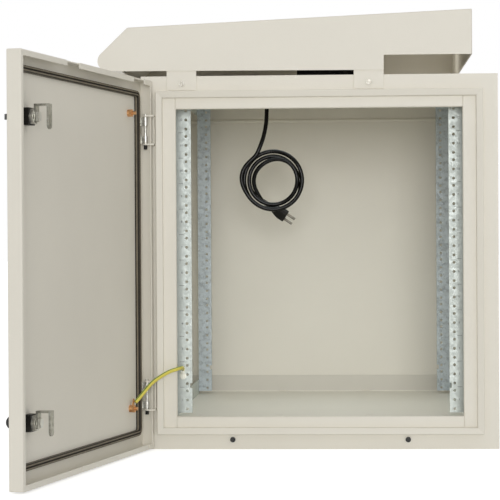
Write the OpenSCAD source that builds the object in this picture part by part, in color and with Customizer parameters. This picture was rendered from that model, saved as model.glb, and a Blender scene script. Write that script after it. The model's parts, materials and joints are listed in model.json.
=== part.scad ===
// 12U outdoor rack enclosure with its door open, in millimetres.
// +X right, -Y front, +Z up; the origin is the middle of the base's underside.

/* [Build] */
// Piece to build, or all of them

/* [Cabinet] */
// Width over the sides
cab_w = 610; // [305:1:1220]
// Height over base and roof
cab_h = 640; // [320:1:1280]
// Depth from front strip to back panel
cab_d = 610; // [305:1:1220]
// Sheet thickness
sheet = 2; // [1:0.1:4]
// Gap beside a part that drops into the shell
fit_gap = 0.3; // [0.15:0.05:0.6]

/* [Front frame] */
// Flat strip round the front
strip_w = 26; // [13:0.5:52]
// Width of the raised gutter edge
ring_w = 11.5; // [6:0.5:23]
// How far the edge stands in front of the strip
ring_proud = 15; // [7.5:0.5:30]
// How far it slopes back inwards
ring_fall = 3; // [1.5:0.1:6]
// Inner flange in front of the strip
inner_set = 4; // [2:0.5:8]
// Side of cabinet to side of opening
open_side = 60; // [30:0.5:120]
// Base or roof to end of opening
open_end = 56.5; // [28:0.5:113]
// Depth of the turned-in lip
flange_deep = 13; // [6.5:0.5:26]

/* [Trays] */
// Top of the raised floor above the base
floor_top = 52; // [26:0.5:104]
// Height of the floor's rear upstand
upstand_h = 33; // [16.5:0.5:66]
// Height of the ceiling tray's rear lip
ceil_lip = 12; // [6:0.5:24]
// Length of a drain slot
slot_l = 13; // [6.5:0.5:26]
// Width of a drain slot
slot_w = 6; // [3:0.5:12]
// Front rail to the drain slots
slot_back = 14; // [7:0.5:28]
// Air slots down each side of the floor
vent_n = 6; // [3:1:12]
// Length of an air slot
vent_l = 56; // [28:1:112]
// Width of an air slot
vent_w = 9; // [4.5:0.5:18]
// Side of cabinet to a wall hole in the back
mount_side = 60; // [30:1:120]
// Base or roof to a wall hole
mount_end = 90; // [45:1:180]
// Wall hole diameter
mount_d = 11; // [5.5:0.5:22]

/* [Filter] */
// Filter tray width
filter_w = 268; // [134:1:536]
// Filter tray depth
filter_l = 455; // [228:1:910]
// Filter tray height
filter_h = 9.6; // [4.8:0.1:19.2]
// Thickness of the filter tray's sheet
filter_thin = 1.2; // [0.6:0.1:2.4]
// Width of its front lip
filter_lip_w = 274; // [137:1:548]
// Height of its front lip
filter_lip_h = 13.7; // [6.8:0.1:27.4]
// Width of a slot in the tray
slat_w = 28; // [14:1:56]
// Spacing of the slots across
slat_step = 42; // [21:1:84]
// Spacing of the slots in depth
slat_row = 60; // [30:1:120]
// Middle to a screw in the bottom strip
strip_screw_out = 150; // [75:1:300]
// Base to the screws in the bottom strip
strip_screw_z = 16.5; // [8:0.5:33]

// Front strip to the intake under the filter
intake_edge = 56; // [28:1:112]
// Bar across the intake
intake_bar = 56; // [28:1:112]
// Filter's edge to the intake
intake_in = 13; // [6.5:0.5:26]

/* [Rails] */
// Height of one rack unit
u_pitch = 44.45; // [22.2:0.05:88.9]
// Unit's edge to its outer holes
u_first = 6.35; // [3.15:0.05:12.7]
// Rail hole diameter
rail_hole_d = 5; // [2.5:0.1:10]
// Rail width
rail_w = 26; // [13:0.5:52]
// Side of cabinet to outer face of rail
rail_side = 55; // [27.5:0.5:110]
// Outer face of rail to its hole column
hole_in = 17.45; // [8.7:0.05:34.9]
// Depth of the rail's side leg
rail_leg = 25; // [12.5:0.5:50]
// Depth of the lip turned back at its inner edge
rail_lip = 6; // [3:0.5:12]
// Front strip to front rail's face
rail_front_in = 59; // [29.5:0.5:118]
// Back panel to rear rail's face
rail_rear_in = 63; // [31.5:0.5:126]
// Rail foot above the floor
rail_lift = 5.5; // [3:0.5:11]
// Depth of the notch in the rail's inner edge
tie_w = 3.5; // [1.8:0.1:7]
// Height of that notch
tie_h = 9; // [4.5:0.5:18]
// Rail foot to that notch
tie_z = 47; // [23.5:0.5:94]
// Height of a brace
brace_h = 28; // [14:0.5:56]
// Width of a brace's foot
brace_foot = 25; // [12.5:0.5:50]
// Brace bolt diameter
bolt_d = 6; // [3:0.5:12]
// Brace bolt head
bolt_head_d = 10; // [5:0.5:20]
// Height of its head
bolt_head_h = 4; // [2:0.5:8]
// Height of its nut
bolt_nut_h = 5; // [2.5:0.5:10]
// Rail's face to the brace bolt
bolt_in = 14; // [7:0.5:28]
// Brace's foot to its bolts
bolt_rise = 20; // [10:0.5:40]
// Radial slack of a bolt in its hole
bolt_slack = 0.05; // [0.01:0.01:0.2]

/* [Hood] */
// Side of cabinet to centre of the hood's rounded tip
tip_out = 56.5; // [28:0.5:113]
// Roof to that centre
tip_up = 27; // [13.5:0.5:54]
// Radius of the tip
tip_r = 17.5; // [9:0.5:35]
// Slope of the canted face from upright
tip_turn = 44; // [22:1:88]
// Side of cabinet to top of the canted face
cant_out = 22.5; // [11:0.5:45]
// Roof to top of the canted face
cant_up = 84.2; // [42.1:0.1:168.4]
// Roof to the hood's high end
hood_up = 110; // [55:0.5:220]
// High end inside the cabinet's side
hood_in_right = 43.2; // [21.6:0.1:86.4]
// Roof to the lower edge over the air outlet
vent_up = 33; // [16.5:0.5:66]
// Side of cabinet to the end of the low skirt
skirt_in = 193.5; // [97:0.5:387]
// Roof to the low skirt's edge
skirt_up = 7.5; // [3.8:0.1:15]
// Side of cabinet to the drip lip's end
lip_out = 33; // [16.5:0.5:66]
// Hood bracket width
bracket_w = 51; // [25.5:0.5:102]
// Left side to middle of left bracket
bracket_left = 70.4; // [35.2:0.1:140.8]
// Right side to middle of right bracket
bracket_right = 219.2; // [109.6:0.1:438.4]
// Roof down to a bracket's foot
bracket_low = 24.5; // [12:0.5:49]
// Roof up to a bracket's top
bracket_up = 32; // [16:0.5:64]
// Roof down to the hood's screws
hood_screw_low = 13; // [6.5:0.5:26]
// Screw diameter
screw_d = 5; // [2.5:0.5:10]
// Screw head diameter
screw_head_d = 9.2; // [4.6:0.1:18.4]
// Screw head height
screw_head_h = 3; // [1.5:0.1:6]
// Screw length under the head
screw_len = 12; // [6:0.5:24]
// Width of the slot in a screw's head
screw_slot = 1; // [0.5:0.1:2]

/* [Fan] */
// Fan centre, right of the middle
fan_x = 20; // [10:1:40]
// Fan centre in front of the middle
fan_front = 110; // [55:1:220]
// Fan frame width
fan_w = 120; // [60:1:240]
// Fan bore
fan_bore = 114; // [57:1:228]
// Thickness of the fan's frame
fan_t = 32; // [16:0.5:64]
// Fan screw spacing
fan_pitch = 105; // [52.5:0.5:210]
// Rotor hub diameter
fan_hub_d = 40; // [20:1:80]
// Rotor blades
fan_blades = 7; // [4:1:14]
// Blade angle
fan_tilt = 38; // [19:1:76]
// Blade tip to bore
fan_tip_gap = 1.2; // [0.6:0.1:2.4]
// Fan shaft diameter
fan_shaft_d = 4; // [2:0.1:8]
// Thickness of the motor's plate and spokes
fan_base = 3; // [1.5:0.1:6]
// Motor plate beyond the hub
fan_rim = 1; // [0.5:0.1:2]
// Gap under the rotor
fan_run = 0.4; // [0.2:0.05:0.8]
// Radial running clearance
run_gap = 0.05; // [0.01:0.01:0.2]
// Guard wire thickness
guard_wire = 2; // [1:0.1:4]
// Radius of the guard's inner ring
guard_first = 18; // [9:0.5:36]
// Spacing of the guard's rings
guard_step = 14; // [7:0.5:28]
// Rings in the guard
guard_n = 4; // [2:1:8]

/* [Fan lead] */
// Cord diameter
cord_d = 7.8; // [3.9:0.1:15.6]
// Middle to the cord's grommet
cord_left = 101; // [50:1:202]
// Middle to the coil's centre
coil_left = 90; // [45:1:180]
// Ceiling to the coil's centre
coil_drop = 166.2; // [83.1:0.1:332.4]
// Coil's centre to the plug's neck, across
plug_left = 20.3; // [10.2:0.1:40.6]
// Coil's centre to the plug's neck, down
plug_low = 38.5; // [19:0.5:77]
// Gap between coil and plug
plug_clear = 2; // [1:0.5:4]
// Coil's inner radius
coil_in = 40; // [20:0.5:80]
// Coil's width
coil_wide = 20; // [10:0.5:40]
// Coil's thickness
coil_thick = 17; // [8.5:0.5:34]
// Rounding of the coil's section
coil_round = 6; // [3:0.5:12]
// Plug's slope below level
plug_dip = 34; // [17:1:68]
// Length of the plug's head
plug_l = 14; // [7:0.5:28]
// Length of its tapered back
plug_taper = 22; // [11:0.5:44]
// Length of its strain relief
plug_neck_l = 16; // [8:0.5:32]
// Plug's width
plug_w = 22; // [11:0.5:44]
// Plug's thickness
plug_t = 15; // [7.5:0.5:30]
// Rounding of the plug
plug_round = 4; // [2:0.5:8]
// Strain relief diameter
plug_neck_d = 10; // [5:0.5:20]
// Blade length
blade_l = 17; // [8.5:0.5:34]
// Blade width
blade_w = 6.3; // [3.1:0.1:12.6]
// Blade thickness
blade_t = 1.6; // [0.8:0.1:3.2]
// Blade spacing
blade_gap = 12.7; // [6.3:0.1:25.4]

/* [Door] */
// How far the door stands open, in degrees
door_open = 102; // [51:1:204]
// Door's side edge inside the cabinet's side
door_in = 1; // [0.5:0.5:2]
// Base to the door's lower edge
door_low = 3; // [1.5:0.5:6]
// Door's upper edge below the roof
door_top = 8; // [4:0.5:16]
// Depth of the door's pan
door_deep = 22.5; // [11:0.5:45]
// Pan to front strip when shut
door_gap = 3; // [1.5:0.1:6]
// Width of the turned-in lip
door_lip = 9; // [4.5:0.5:18]
// Hinge edge to hinge pin
pin_in = 8; // [4:0.1:16]
// Pin in front of the strip
pin_gap = 13; // [6.5:0.1:26]
// Bevel on the hinge side lip
corner_cut = 1.5; // [0.8:0.1:3]
// Gasket width
gasket_w = 10; // [5:0.5:20]
// Side of cabinet to middle of gasket
gasket_mid = 32; // [16:0.5:64]
// Gasket to gutter edge when shut
gasket_gap = 0.3; // [0.15:0.05:0.6]
// Gasket's corner radius
gasket_r = 14; // [7:0.5:28]
// Width of the gasket's groove
groove_w = 3; // [1.5:0.1:6]
// Depth of the gasket's groove
groove_deep = 3; // [1.5:0.1:6]
// Hood bracket to its notch in the top lip
notch_gap = 2.7; // [1.4:0.1:5.4]
// Depth of that notch
notch_deep = 4.5; // [2.2:0.1:9]
// Left side to the first slit in the bottom lip
drain_first = 33; // [16.5:0.5:66]
// Left side to the second slit
drain_second = 365.5; // [183:0.5:731]
// Width of a slit
drain_w = 4; // [2:0.1:8]
// Hinge edge to earth studs
stud_in = 70; // [35:0.5:140]
// Base to lower stud
stud_low = 76; // [38:0.5:152]
// Upper stud below the roof
stud_top = 67; // [33.5:0.5:134]
// Stud diameter
stud_d = 6; // [3:0.5:12]
// Stud length
stud_l = 14; // [7:0.5:28]
// Stud's washer and nut
stud_base_d = 12; // [6:0.5:24]
// Height of washer or nut
stud_base_h = 4; // [2:0.5:8]

/* [Hinges] */
// Base to middle of lower hinge
hinge_low = 93.5; // [47:0.5:187]
// Middle of upper hinge below the roof
hinge_top = 93; // [46.5:0.5:186]
// Height over the bracket's ears
hinge_h = 51; // [25.5:0.5:102]
// Ear thickness
ear_t = 2.5; // [1.2:0.1:5]
// Ear radius round the pin
ear_r = 5; // [2.5:0.1:10]
// Pin to the near side of the hook's arm
arm_near = 6.5; // [3.2:0.1:13]
// Pin to the far side of the hook's arm
arm_far = 10; // [5:0.1:20]
// Width of the hook's neck
arm_neck = 5; // [2.5:0.1:10]
// Pin to the near side of the hook's leg
leg_in = 13.3; // [6.6:0.1:26.6]
// Thickness of the hook's leg
leg_t = 2; // [1:0.1:4]
// Pin to the near end of the bracket's foot
foot_in = 7.5; // [3.8:0.1:15]
// Pin to the web's front
web_from = 5; // [2.5:0.1:10]
// Hinge pin diameter
pin_d = 4; // [2:0.1:8]
// Knuckle diameter
knuckle_d = 7.2; // [3.6:0.1:14.4]
// Upper knuckle's height
knuckle_top = 15; // [7.5:0.5:30]
// Lower knuckle's height
knuckle_low = 12.5; // [6:0.5:25]
// Gap between knuckle and ear
knuckle_gap = 0.3; // [0.15:0.05:0.6]
// Pin to the leaf's near edge
leaf_left = 4; // [2:0.5:8]
// Pin to the leaf's far edge
leaf_right = 9; // [4.5:0.5:18]
// Pin cap diameter
cap_d = 6; // [3:0.5:12]
// Pin cap height
cap_h = 7; // [3.5:0.5:14]

/* [Latches] */
// Side of cabinet to the latches
latch_side = 69; // [34.5:0.5:138]
// Base to the lower latch
latch_low = 95.5; // [48:0.5:191]
// Upper latch below the roof
latch_top = 100.5; // [50:0.5:201]
// Square housing inside
latch_block = 25; // [12.5:0.5:50]
// Height of the housing
latch_block_h = 10; // [5:0.5:20]
// Bezel outside
latch_bezel_d = 30; // [15:0.5:60]
// Height of the bezel
latch_bezel_h = 2.5; // [1.2:0.1:5]
// Barrel's slack in the door's skin
barrel_slack = 0.1; // [0.01:0.01:0.2]
// Threaded barrel
latch_barrel_d = 18; // [9:0.5:36]
// Spindle
latch_spin_d = 12; // [6:0.5:24]
// Nut across flats
nut_af = 22; // [11:0.5:44]
// Nut height
nut_h = 5.5; // [2.8:0.1:11]
// Knob diameter
knob_d = 29; // [14.5:0.5:58]
// Knob plate
knob_h = 8; // [4:0.5:16]
// Knob's wing, width
wing_w = 8; // [4:0.5:16]
// Knob's wing, height
wing_h = 19; // [9.5:0.5:38]
// Wing inside the knob's edge
wing_in = 1; // [0.5:0.1:2]
// Cam width
cam_w = 14; // [7:0.5:28]
// Cam thickness
cam_t = 3; // [1.5:0.1:6]
// Axis to top of hook
cam_up = 18; // [9:0.5:36]
// Axis to lower end of base plate
cam_low = 8; // [4:0.5:16]
// Axis to tip of tail
cam_tail = 19; // [9.5:0.5:38]
// Door's skin to tail
cam_off = 35.5; // [18:0.5:71]
// Gap under cam and knob
cam_gap = 0.3; // [0.15:0.05:0.6]
// Cam nut across flats
cam_nut_af = 13; // [6.5:0.5:26]
// Cam nut height
cam_nut_h = 4; // [2:0.1:8]
// Spindle's end
spin_end_d = 8; // [4:0.5:16]

/* [Earth wire] */
// Wire diameter
wire_d = 5.4; // [2.7:0.1:10.8]
// Lug thickness
lug_t = 1.5; // [0.8:0.1:3]
// Lug ring
lug_d = 12; // [6:0.5:24]
// Lug neck width
lug_neck = 7; // [3.5:0.5:14]
// Ring's centre to the wire's end
lug_up = 12; // [6:0.5:24]
// Direction of the door's lug
lug_tilt = 60; // [30:1:120]
// Rail's outer face to the rail's lug
lug_edge = 10; // [5:0.5:20]
// Height of the rail's lug
lug_z = 122; // [61:0.5:244]
// Lug screw diameter
lug_screw_d = 4; // [2:0.1:8]
// Lug screw head height
lug_screw_h = 2; // [1:0.1:4]
// Lug screw length
lug_screw_l = 6; // [3:0.5:12]
// Lug screw's slack
lug_slack = 0.1; // [0.01:0.01:0.2]

/* [Hidden] */
$fn = 48;
fine = 24; // facets of small rounds
eps = 1; // overshoot of a cut
yf = -cab_d / 2;
yb = cab_d / 2;
hw = cab_w / 2;
in_w = hw - sheet;
in_y = yb - sheet;
roof_under = cab_h - sheet;
ring_s = strip_w + ring_w;
ring_y = yf - ring_proud;
post_y0 = yf - inner_set;
open_w = hw - open_side;
tray_front = post_y0 + flange_deep + fit_gap;
ceil_under = roof_under - fit_gap - sheet;
screw_hole = screw_d + 2 * bolt_slack;
bolt_hole = bolt_d + 2 * bolt_slack;

// Rails and trays
rail_out = hw - rail_side;
rail_in = rail_out - rail_w;
hole_x = rail_out - hole_in;
rail_front_y = yf + rail_front_in;
rail_rear_y = yb - rail_rear_in;
rail_z0 = floor_top + rail_lift;
units = floor((ceil_under - rail_z0) / u_pitch);
rail_z1 = rail_z0 + units * u_pitch;
u_holes = [u_first, u_pitch / 2, u_pitch - u_first];
brace_bolt_z = [floor_top + bolt_rise, ceil_under - bolt_rise];
slot_shares = [-0.96, -0.326, 0.375, 0.96]; // drain slots, as shares of the rails' inner edges
notch_share = 0.375; // notches at the back, likewise
slot_y = rail_front_y + slot_back;
vent_step = (2 * in_y - 2 * vent_l) / vent_n;
mount_x = hw - mount_side;
mount_z = cab_h / 2 - mount_end;

// Hood
bracket_x = [-hw + bracket_left, hw - bracket_right];
bracket_foot = cab_h - bracket_low;
bracket_top = cab_h + bracket_up;
hood_screw_z = cab_h - hood_screw_low;
hood_yf = yf - 2 * sheet;
tip_n = 10;
tip_c = [-hw - tip_out, cab_h + tip_up];
tip_a0 = 90 + tip_turn;
tip_a1 = 270;
cant_top = [-hw - cant_out, cab_h + cant_up];
high_x = hw - hood_in_right;
high_top = [high_x, cab_h + hood_up];
skirt_x = hw - skirt_in;

// Fan and its lead
fan_y = -fan_front;
fan_z0 = cab_h;
fan_shaft_share = 0.6; // of the fan's thickness
fan_screw_share = 0.7;
guard_arm_share = 0.74; // of the screw spacing
grommet_at = [-cord_left, 0];
coil_c = [-coil_left, ceil_under - coil_drop];
coil_mid = coil_in + coil_wide / 2;
neck_share = 0.85; // strain relief's thin end
plug_y = coil_thick / 2 + plug_clear + plug_t / 2;
plug_from = [coil_c[0] - plug_left, plug_y, coil_c[1] - plug_low];
plug_face = plug_neck_l + plug_taper + plug_l;
plug_way = [cos(plug_dip), 0, -sin(plug_dip)];
lead_way = [[0, 4], [0, -6], [0, -36], [-1, -55.7], [-3.6, -72.1], [-8, -87.7], [-12, -98.2],
  [-16.3, -108.7]]; // from the grommet
tail_way = [[-40.3, 12.8, -17.1], [-35.9, 15.2, -25.1], [-29.5, 17.2, -32.5]]; // from the coil's centre

// Door
door_edge = hw - door_in;
door_z0 = door_low;
door_z1 = cab_h - door_top;
pin_x = -door_edge + pin_in;
pin_y = yf - pin_gap;
pan_y = yf - door_gap;
skin_y0 = pan_y - door_deep;
skin_y1 = skin_y0 + sheet;
gasket_y = ring_y - gasket_gap;
drain_x = [-hw + drain_first, -hw + drain_second];
stud_x = -door_edge + stud_in;
stud_z = [cab_h - stud_top, stud_low];
stud_y = skin_y1 + stud_base_h;
hinge_z = [cab_h - hinge_top, hinge_low];
leg_out = leg_in + leg_t;
latch_x = hw - latch_side;
latch_z = [cab_h - latch_top, latch_low];
latch_hole_d = latch_barrel_d + 2 * barrel_slack;
wing_n = 12;
wing_outline = [for (i = [0:wing_n]) let (t = 180 * i / wing_n)
  [-wing_h * sin(t), (knob_d / 2 - wing_in) * cos(t)]];
wing_turns = [90, 0]; // the upper knob's wing lies level
nut_y0 = skin_y1 + latch_block_h;
cam_y0 = nut_y0 + nut_h + cam_gap;

// Earth wire
lug_rail = [-rail_out + lug_edge, lug_z];
lug_hole = lug_screw_d + 2 * lug_slack;
wire_from = [stud_x - lug_up * cos(lug_tilt), stud_y + lug_t + wire_d / 2,
  stud_z[1] + lug_up * sin(lug_tilt)];
wire_way = [[1, -63.5, 93], [10, -55, 104.3], [20.7, -43.5, 116.9], [33.4, -33, 126.3], [48, -23, 134.5],
  [60, -14, 138.3], [65.5, -1.5, 139.6], [66.5, 15, 139.2], [65.7, 37, 137]]; // from the front left corner
wire_pts = [for (p = wire_way) [-hw + p[0], yf + p[1], p[2]]];

// Colours
paint = [0.86, 0.84, 0.79];
zinc = [0.74, 0.77, 0.77];
steel = [0.62, 0.63, 0.64];
black = [0.09, 0.09, 0.09];
foam = [0.22, 0.2, 0.17];
fleece = [0.87, 0.86, 0.81];
copper = [0.72, 0.48, 0.29];
green = [0.7, 0.72, 0.22];

// Shared shapes

module block(x, y, z) translate([x[0], y[0], z[0]]) cube([x[1] - x[0], y[1] - y[0], z[1] - z[0]]);

module rod_y(x, z, y0, y1, d) translate([x, y0, z]) rotate([-90, 0, 0]) cylinder(h = y1 - y0, d = d);

module rod_x(y, z, x0, x1, d) translate([x0, y, z]) rotate([0, 90, 0]) cylinder(h = x1 - x0, d = d);

module hex_y(x, z, y0, y1, af) translate([x, y0, z]) rotate([-90, 0, 0])
  cylinder(h = y1 - y0, d = af / cos(30), $fn = 6);

module slab_y(y0, y1) translate([0, y1, 0]) rotate([90, 0, 0]) linear_extrude(y1 - y0) children();

module sides() for (s = [-1, 1]) scale_x(s) children();

module scale_x(s) mirror([s < 0 ? 1 : 0, 0, 0]) children();

module on_door() translate([pin_x, pin_y, 0]) rotate([0, 0, -door_open])
  translate([-pin_x, -pin_y, 0]) children();

module round_rect(w, h, r) {
  square([w - 2 * r, h], center = true);
  square([w, h - 2 * r], center = true);
  for (i = [-1, 1], j = [-1, 1]) translate([i * (w / 2 - r), j * (h / 2 - r)]) circle(r);
}

function unit(v) = v / norm(v);
function tangent(p, i) = unit(p[min(i + 1, len(p) - 1)] - p[max(i - 1, 0)]);
function side(t) = unit(cross(t, abs(t[2]) > 0.9 ? [0, 1, 0] : [0, 0, 1]));

module tube(p, d, n = 10) {
  rings = [for (i = [0:len(p) - 1]) let (t = tangent(p, i), a = side(t), b = cross(a, t))
    for (k = [0:n - 1]) p[i] + d / 2 * (cos(360 * k / n) * a + sin(360 * k / n) * b)];
  m = len(p);
  polyhedron(rings, concat([[for (k = [0:n - 1]) k]], [[for (k = [n - 1:-1:0]) (m - 1) * n + k]],
    [for (i = [0:m - 2], k = [0:n - 1]) let (e = (k + 1) % n)
      [i * n + k, (i + 1) * n + k, (i + 1) * n + e, i * n + e]]));
}

// Shell

module body_shell() color(paint) difference() {
  union() {
    sides() block([in_w, hw], [-in_y, in_y], [0, cab_h]);
    block([-in_w, in_w], [-in_y, in_y], [roof_under, cab_h]);
    block([-in_w, in_w], [-in_y, in_y], [0, sheet]);
  }
  translate([fan_x, fan_y, roof_under - eps]) cylinder(h = sheet + 2 * eps, d = fan_bore);
  fan_corners() translate([0, 0, roof_under - eps]) cylinder(h = sheet + 2 * eps, d = screw_hole);
  translate([grommet_at[0], grommet_at[1], roof_under - eps])
    cylinder(h = sheet + 2 * eps, d = 2 * cord_d + 4 * sheet);
  for (y = [[yf + intake_edge, -intake_bar / 2], [intake_bar / 2, yf + filter_l - intake_in]])
    block([-filter_w / 2 + intake_in, filter_w / 2 - intake_in], y, [-eps, sheet + eps]);
}

module back_panel() color(paint) difference() {
  block([-hw, hw], [in_y, yb], [0, cab_h]);
  for (s = [-1, 1], t = [-1, 1]) rod_y(s * mount_x, cab_h / 2 + t * mount_z, in_y - eps, yb + eps, mount_d);
  for (x = bracket_x) rod_y(x, hood_screw_z, in_y - eps, yb + eps, screw_hole);
}

ring_profile = [[0, yf], [strip_w, yf], [strip_w, ring_y], [ring_s, ring_y + ring_fall], [ring_s, yf - sheet],
  [ring_s - sheet, yf - sheet], [ring_s - sheet, ring_y + ring_fall + sheet * 0.75],
  [strip_w + sheet, ring_y + sheet * 1.25], [strip_w + sheet, yf + sheet], [0, yf + sheet]];

module ring_bar(half, length) intersection() {
  translate([-half, 0, 0]) linear_extrude(length) polygon(ring_profile);
  slab_y(ring_y - eps, yf + sheet + eps) polygon([[-half, 0], [-half, length],
    [-half + strip_w * 2, length - strip_w * 2], [-half + strip_w * 2, strip_w * 2]]);
}

module front_ring() color(paint) difference() {
  union() {
    sides() ring_bar(hw, cab_h);
    translate([hw, 0, 0]) rotate([0, -90, 0]) ring_bar(0, cab_w);
    translate([hw, 0, cab_h]) mirror([0, 0, 1]) rotate([0, -90, 0]) ring_bar(0, cab_w);
  }
  for (x = bracket_x) rod_y(x, hood_screw_z, yf - eps, yf + sheet + eps, screw_hole);
  for (s = [-1, 1])
    rod_y(s * strip_screw_out, strip_screw_z, yf - eps, yf + sheet + eps, screw_hole);
  block([-filter_w / 2 - fit_gap, filter_w / 2 + fit_gap], [yf - eps, yf + sheet + eps],
    [sheet - fit_gap, sheet + filter_h + fit_gap]);
}

module post() {
  block([open_w, hw - ring_s], [post_y0, post_y0 + sheet], [ring_s, cab_h - ring_s]);
  block([open_w, open_w + sheet], [post_y0, post_y0 + flange_deep], [ring_s, cab_h - ring_s]);
}

module frame_post_left() color(paint) scale_x(-1) post();
module frame_post_right() color(paint) post();

module rung() {
  block([-open_w, open_w], [post_y0, post_y0 + sheet], [ring_s, open_end]);
  block([-open_w, open_w], [post_y0, post_y0 + flange_deep], [open_end - sheet, open_end]);
}

module frame_sill() color(paint) rung();
module frame_header() color(paint) translate([0, 0, cab_h]) mirror([0, 0, 1]) rung();

module floor_tray() color(paint) {
  x = in_w - fit_gap;
  y = in_y;
  difference() {
    union() {
      block([-x, x], [tray_front, y], [floor_top - sheet, floor_top]);
      sides() block([x - sheet, x], [tray_front, y], [sheet, floor_top]);
      block([-x, x], [y - sheet, y], [floor_top, floor_top + upstand_h]);
    }
    for (s = slot_shares) translate([s * rail_in, slot_y, 0])
      block([-slot_l / 2, slot_l / 2], [-slot_w / 2, slot_w / 2], [floor_top - sheet - eps, floor_top + eps]);
    for (s = [-1, 1]) translate([s * notch_share * rail_in, y, 0])
      block([-slot_l / 2, slot_l / 2], [-sheet - eps, eps], [floor_top, floor_top + slot_w / 2]);
    for (s = [-1, 1], i = [0:vent_n - 1])
      translate([s * (rail_out + brace_foot + vent_w), (i - (vent_n - 1) / 2) * vent_step, 0])
        block([-vent_w / 2, vent_w / 2], [-vent_l / 2, vent_l / 2], [floor_top - 2 * sheet, floor_top + eps]);
  }
}

module ceiling_tray() color(paint) {
  x = in_w - fit_gap;
  y = in_y;
  difference() {
    union() {
      block([-x, x], [tray_front, y], [ceil_under, ceil_under + sheet]);
      block([-x, x], [y - sheet, y], [ceil_under - ceil_lip, ceil_under]);
    }
    translate([fan_x, fan_y, ceil_under - eps]) cylinder(h = sheet + 2 * eps, d = fan_bore);
    fan_corners() translate([0, 0, ceil_under - eps]) cylinder(h = sheet + 2 * eps, d = screw_hole);
    translate([grommet_at[0], grommet_at[1], ceil_under - eps]) cylinder(h = sheet + 2 * eps, d = 2 * cord_d);
    for (bx = bracket_x) rod_y(bx, hood_screw_z, y - sheet - eps, y + eps, screw_head_d);
  }
}

// Filter below the floor

module filter_tray() color(zinc) {
  w = filter_w / 2;
  difference() {
    union() {
      block([-w, w], [yf, yf + filter_l], [sheet, sheet + filter_h]);
      block([-filter_lip_w / 2, filter_lip_w / 2], [yf - filter_thin, yf], [fit_gap, fit_gap + filter_lip_h]);
    }
    block([-w + filter_thin, w - filter_thin], [yf + filter_thin, yf + filter_l - filter_thin],
      [sheet + filter_thin, sheet + filter_h + eps]);
    for (i = [0:vent_n - 1], j = [-2:2]) translate([j * slat_step, yf + slat_row * (i + 1.5), 0])
      block([-slat_w / 2, slat_w / 2], [-vent_w, vent_w], [sheet - eps, sheet + filter_thin + eps]);
  }
}

module air_filter() color(fleece) block([-filter_w / 2 + filter_thin, filter_w / 2 - filter_thin],
  [yf + filter_thin, yf + filter_l - filter_thin], [sheet + filter_thin, sheet + filter_h]);

module head_screw_y(x, z, y, out) {
  head = out < 0 ? [y - screw_head_h, y] : [y, y + screw_head_h];
  stem = out < 0 ? [y, y + screw_len] : [y - screw_len, y];
  difference() {
    rod_y(x, z, head[0], head[1], screw_head_d);
    translate([x, out < 0 ? head[0] : head[1], z]) cube([screw_d, screw_head_h, screw_slot], center = true);
  }
  rod_y(x, z, stem[0], stem[1], screw_d);
}

module strip_screws() color(black) for (s = [-1, 1]) head_screw_y(s * strip_screw_out, strip_screw_z, yf, -1);

// Rack rails and braces

module rail(y) difference() {
  union() {
    block([rail_in, rail_out], [y, y + sheet], [rail_z0, rail_z1]);
    block([rail_out - sheet, rail_out], [y, y + rail_leg], [rail_z0, rail_z1]);
    block([rail_in, rail_in + sheet], [y, y + rail_lip], [rail_z0, rail_z1]);
  }
  for (i = [0:units - 1], h = u_holes)
    rod_y(hole_x, rail_z0 + i * u_pitch + h, y - eps, y + sheet + eps, rail_hole_d);
  block([rail_in - eps, rail_in + tie_w], [y - eps, y + rail_lip + eps],
    [rail_z0 + tie_z - tie_h / 2, rail_z0 + tie_z + tie_h / 2]);
  for (z = brace_bolt_z) rod_x(y + bolt_in, z, rail_out - sheet - eps, rail_out + eps, bolt_hole);
}

module rail_front_left() color(zinc) scale_x(-1) difference() {
  rail(rail_front_y);
  rod_y(-lug_rail[0], lug_rail[1], rail_front_y - eps, rail_front_y + sheet + eps, lug_hole);
}
module rail_front_right() color(zinc) rail(rail_front_y);
module rail_rear_left() color(zinc) scale_x(-1) rail(rail_rear_y);
module rail_rear_right() color(zinc) rail(rail_rear_y);

module brace(z0, z1, foot0, z_bolt) difference() {
  union() {
    block([rail_out, rail_out + sheet], [rail_front_y, rail_rear_y + rail_leg], [z0, z1]);
    block([rail_out, rail_out + brace_foot], [rail_front_y, rail_rear_y + rail_leg], [foot0, foot0 + sheet]);
  }
  for (y = [rail_front_y, rail_rear_y])
    rod_x(y + bolt_in, z_bolt, rail_out - eps, rail_out + sheet + eps, bolt_hole);
}

module brace_low() brace(floor_top, floor_top + brace_h, floor_top, brace_bolt_z[0]);
module brace_high() brace(ceil_under - brace_h, ceil_under, ceil_under - sheet, brace_bolt_z[1]);
module brace_lower_left() color(zinc) scale_x(-1) brace_low();
module brace_lower_right() color(zinc) brace_low();
module brace_upper_left() color(zinc) scale_x(-1) brace_high();
module brace_upper_right() color(zinc) brace_high();

module rail_bolts() color(steel) for (y = [rail_front_y, rail_rear_y], z = brace_bolt_z) sides() {
  rod_x(y + bolt_in, z, rail_out - sheet - bolt_head_h, rail_out - sheet, bolt_head_d);
  rod_x(y + bolt_in, z, rail_out - sheet, rail_out + sheet + bolt_nut_h, bolt_d);
  difference() {
    translate([rail_out + sheet, y + bolt_in, z]) rotate([0, 90, 0])
      cylinder(h = bolt_nut_h, d = bolt_head_d / cos(30), $fn = 6);
    rod_x(y + bolt_in, z, rail_out + sheet - eps, rail_out + sheet + bolt_nut_h + eps, bolt_d);
  }
}

// Rain hood

function arc(c, r, a0, a1, n) = [for (i = [0:n]) let (a = a0 + (a1 - a0) * i / n) c + r * [cos(a), sin(a)]];
function meet(p, d, q, e) = p + d * ((q - p)[0] * e[1] - (q - p)[1] * e[0]) / (d[0] * e[1] - d[1] * e[0]);
function inward(d) = [d[1], -d[0]] / norm(d);

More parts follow.
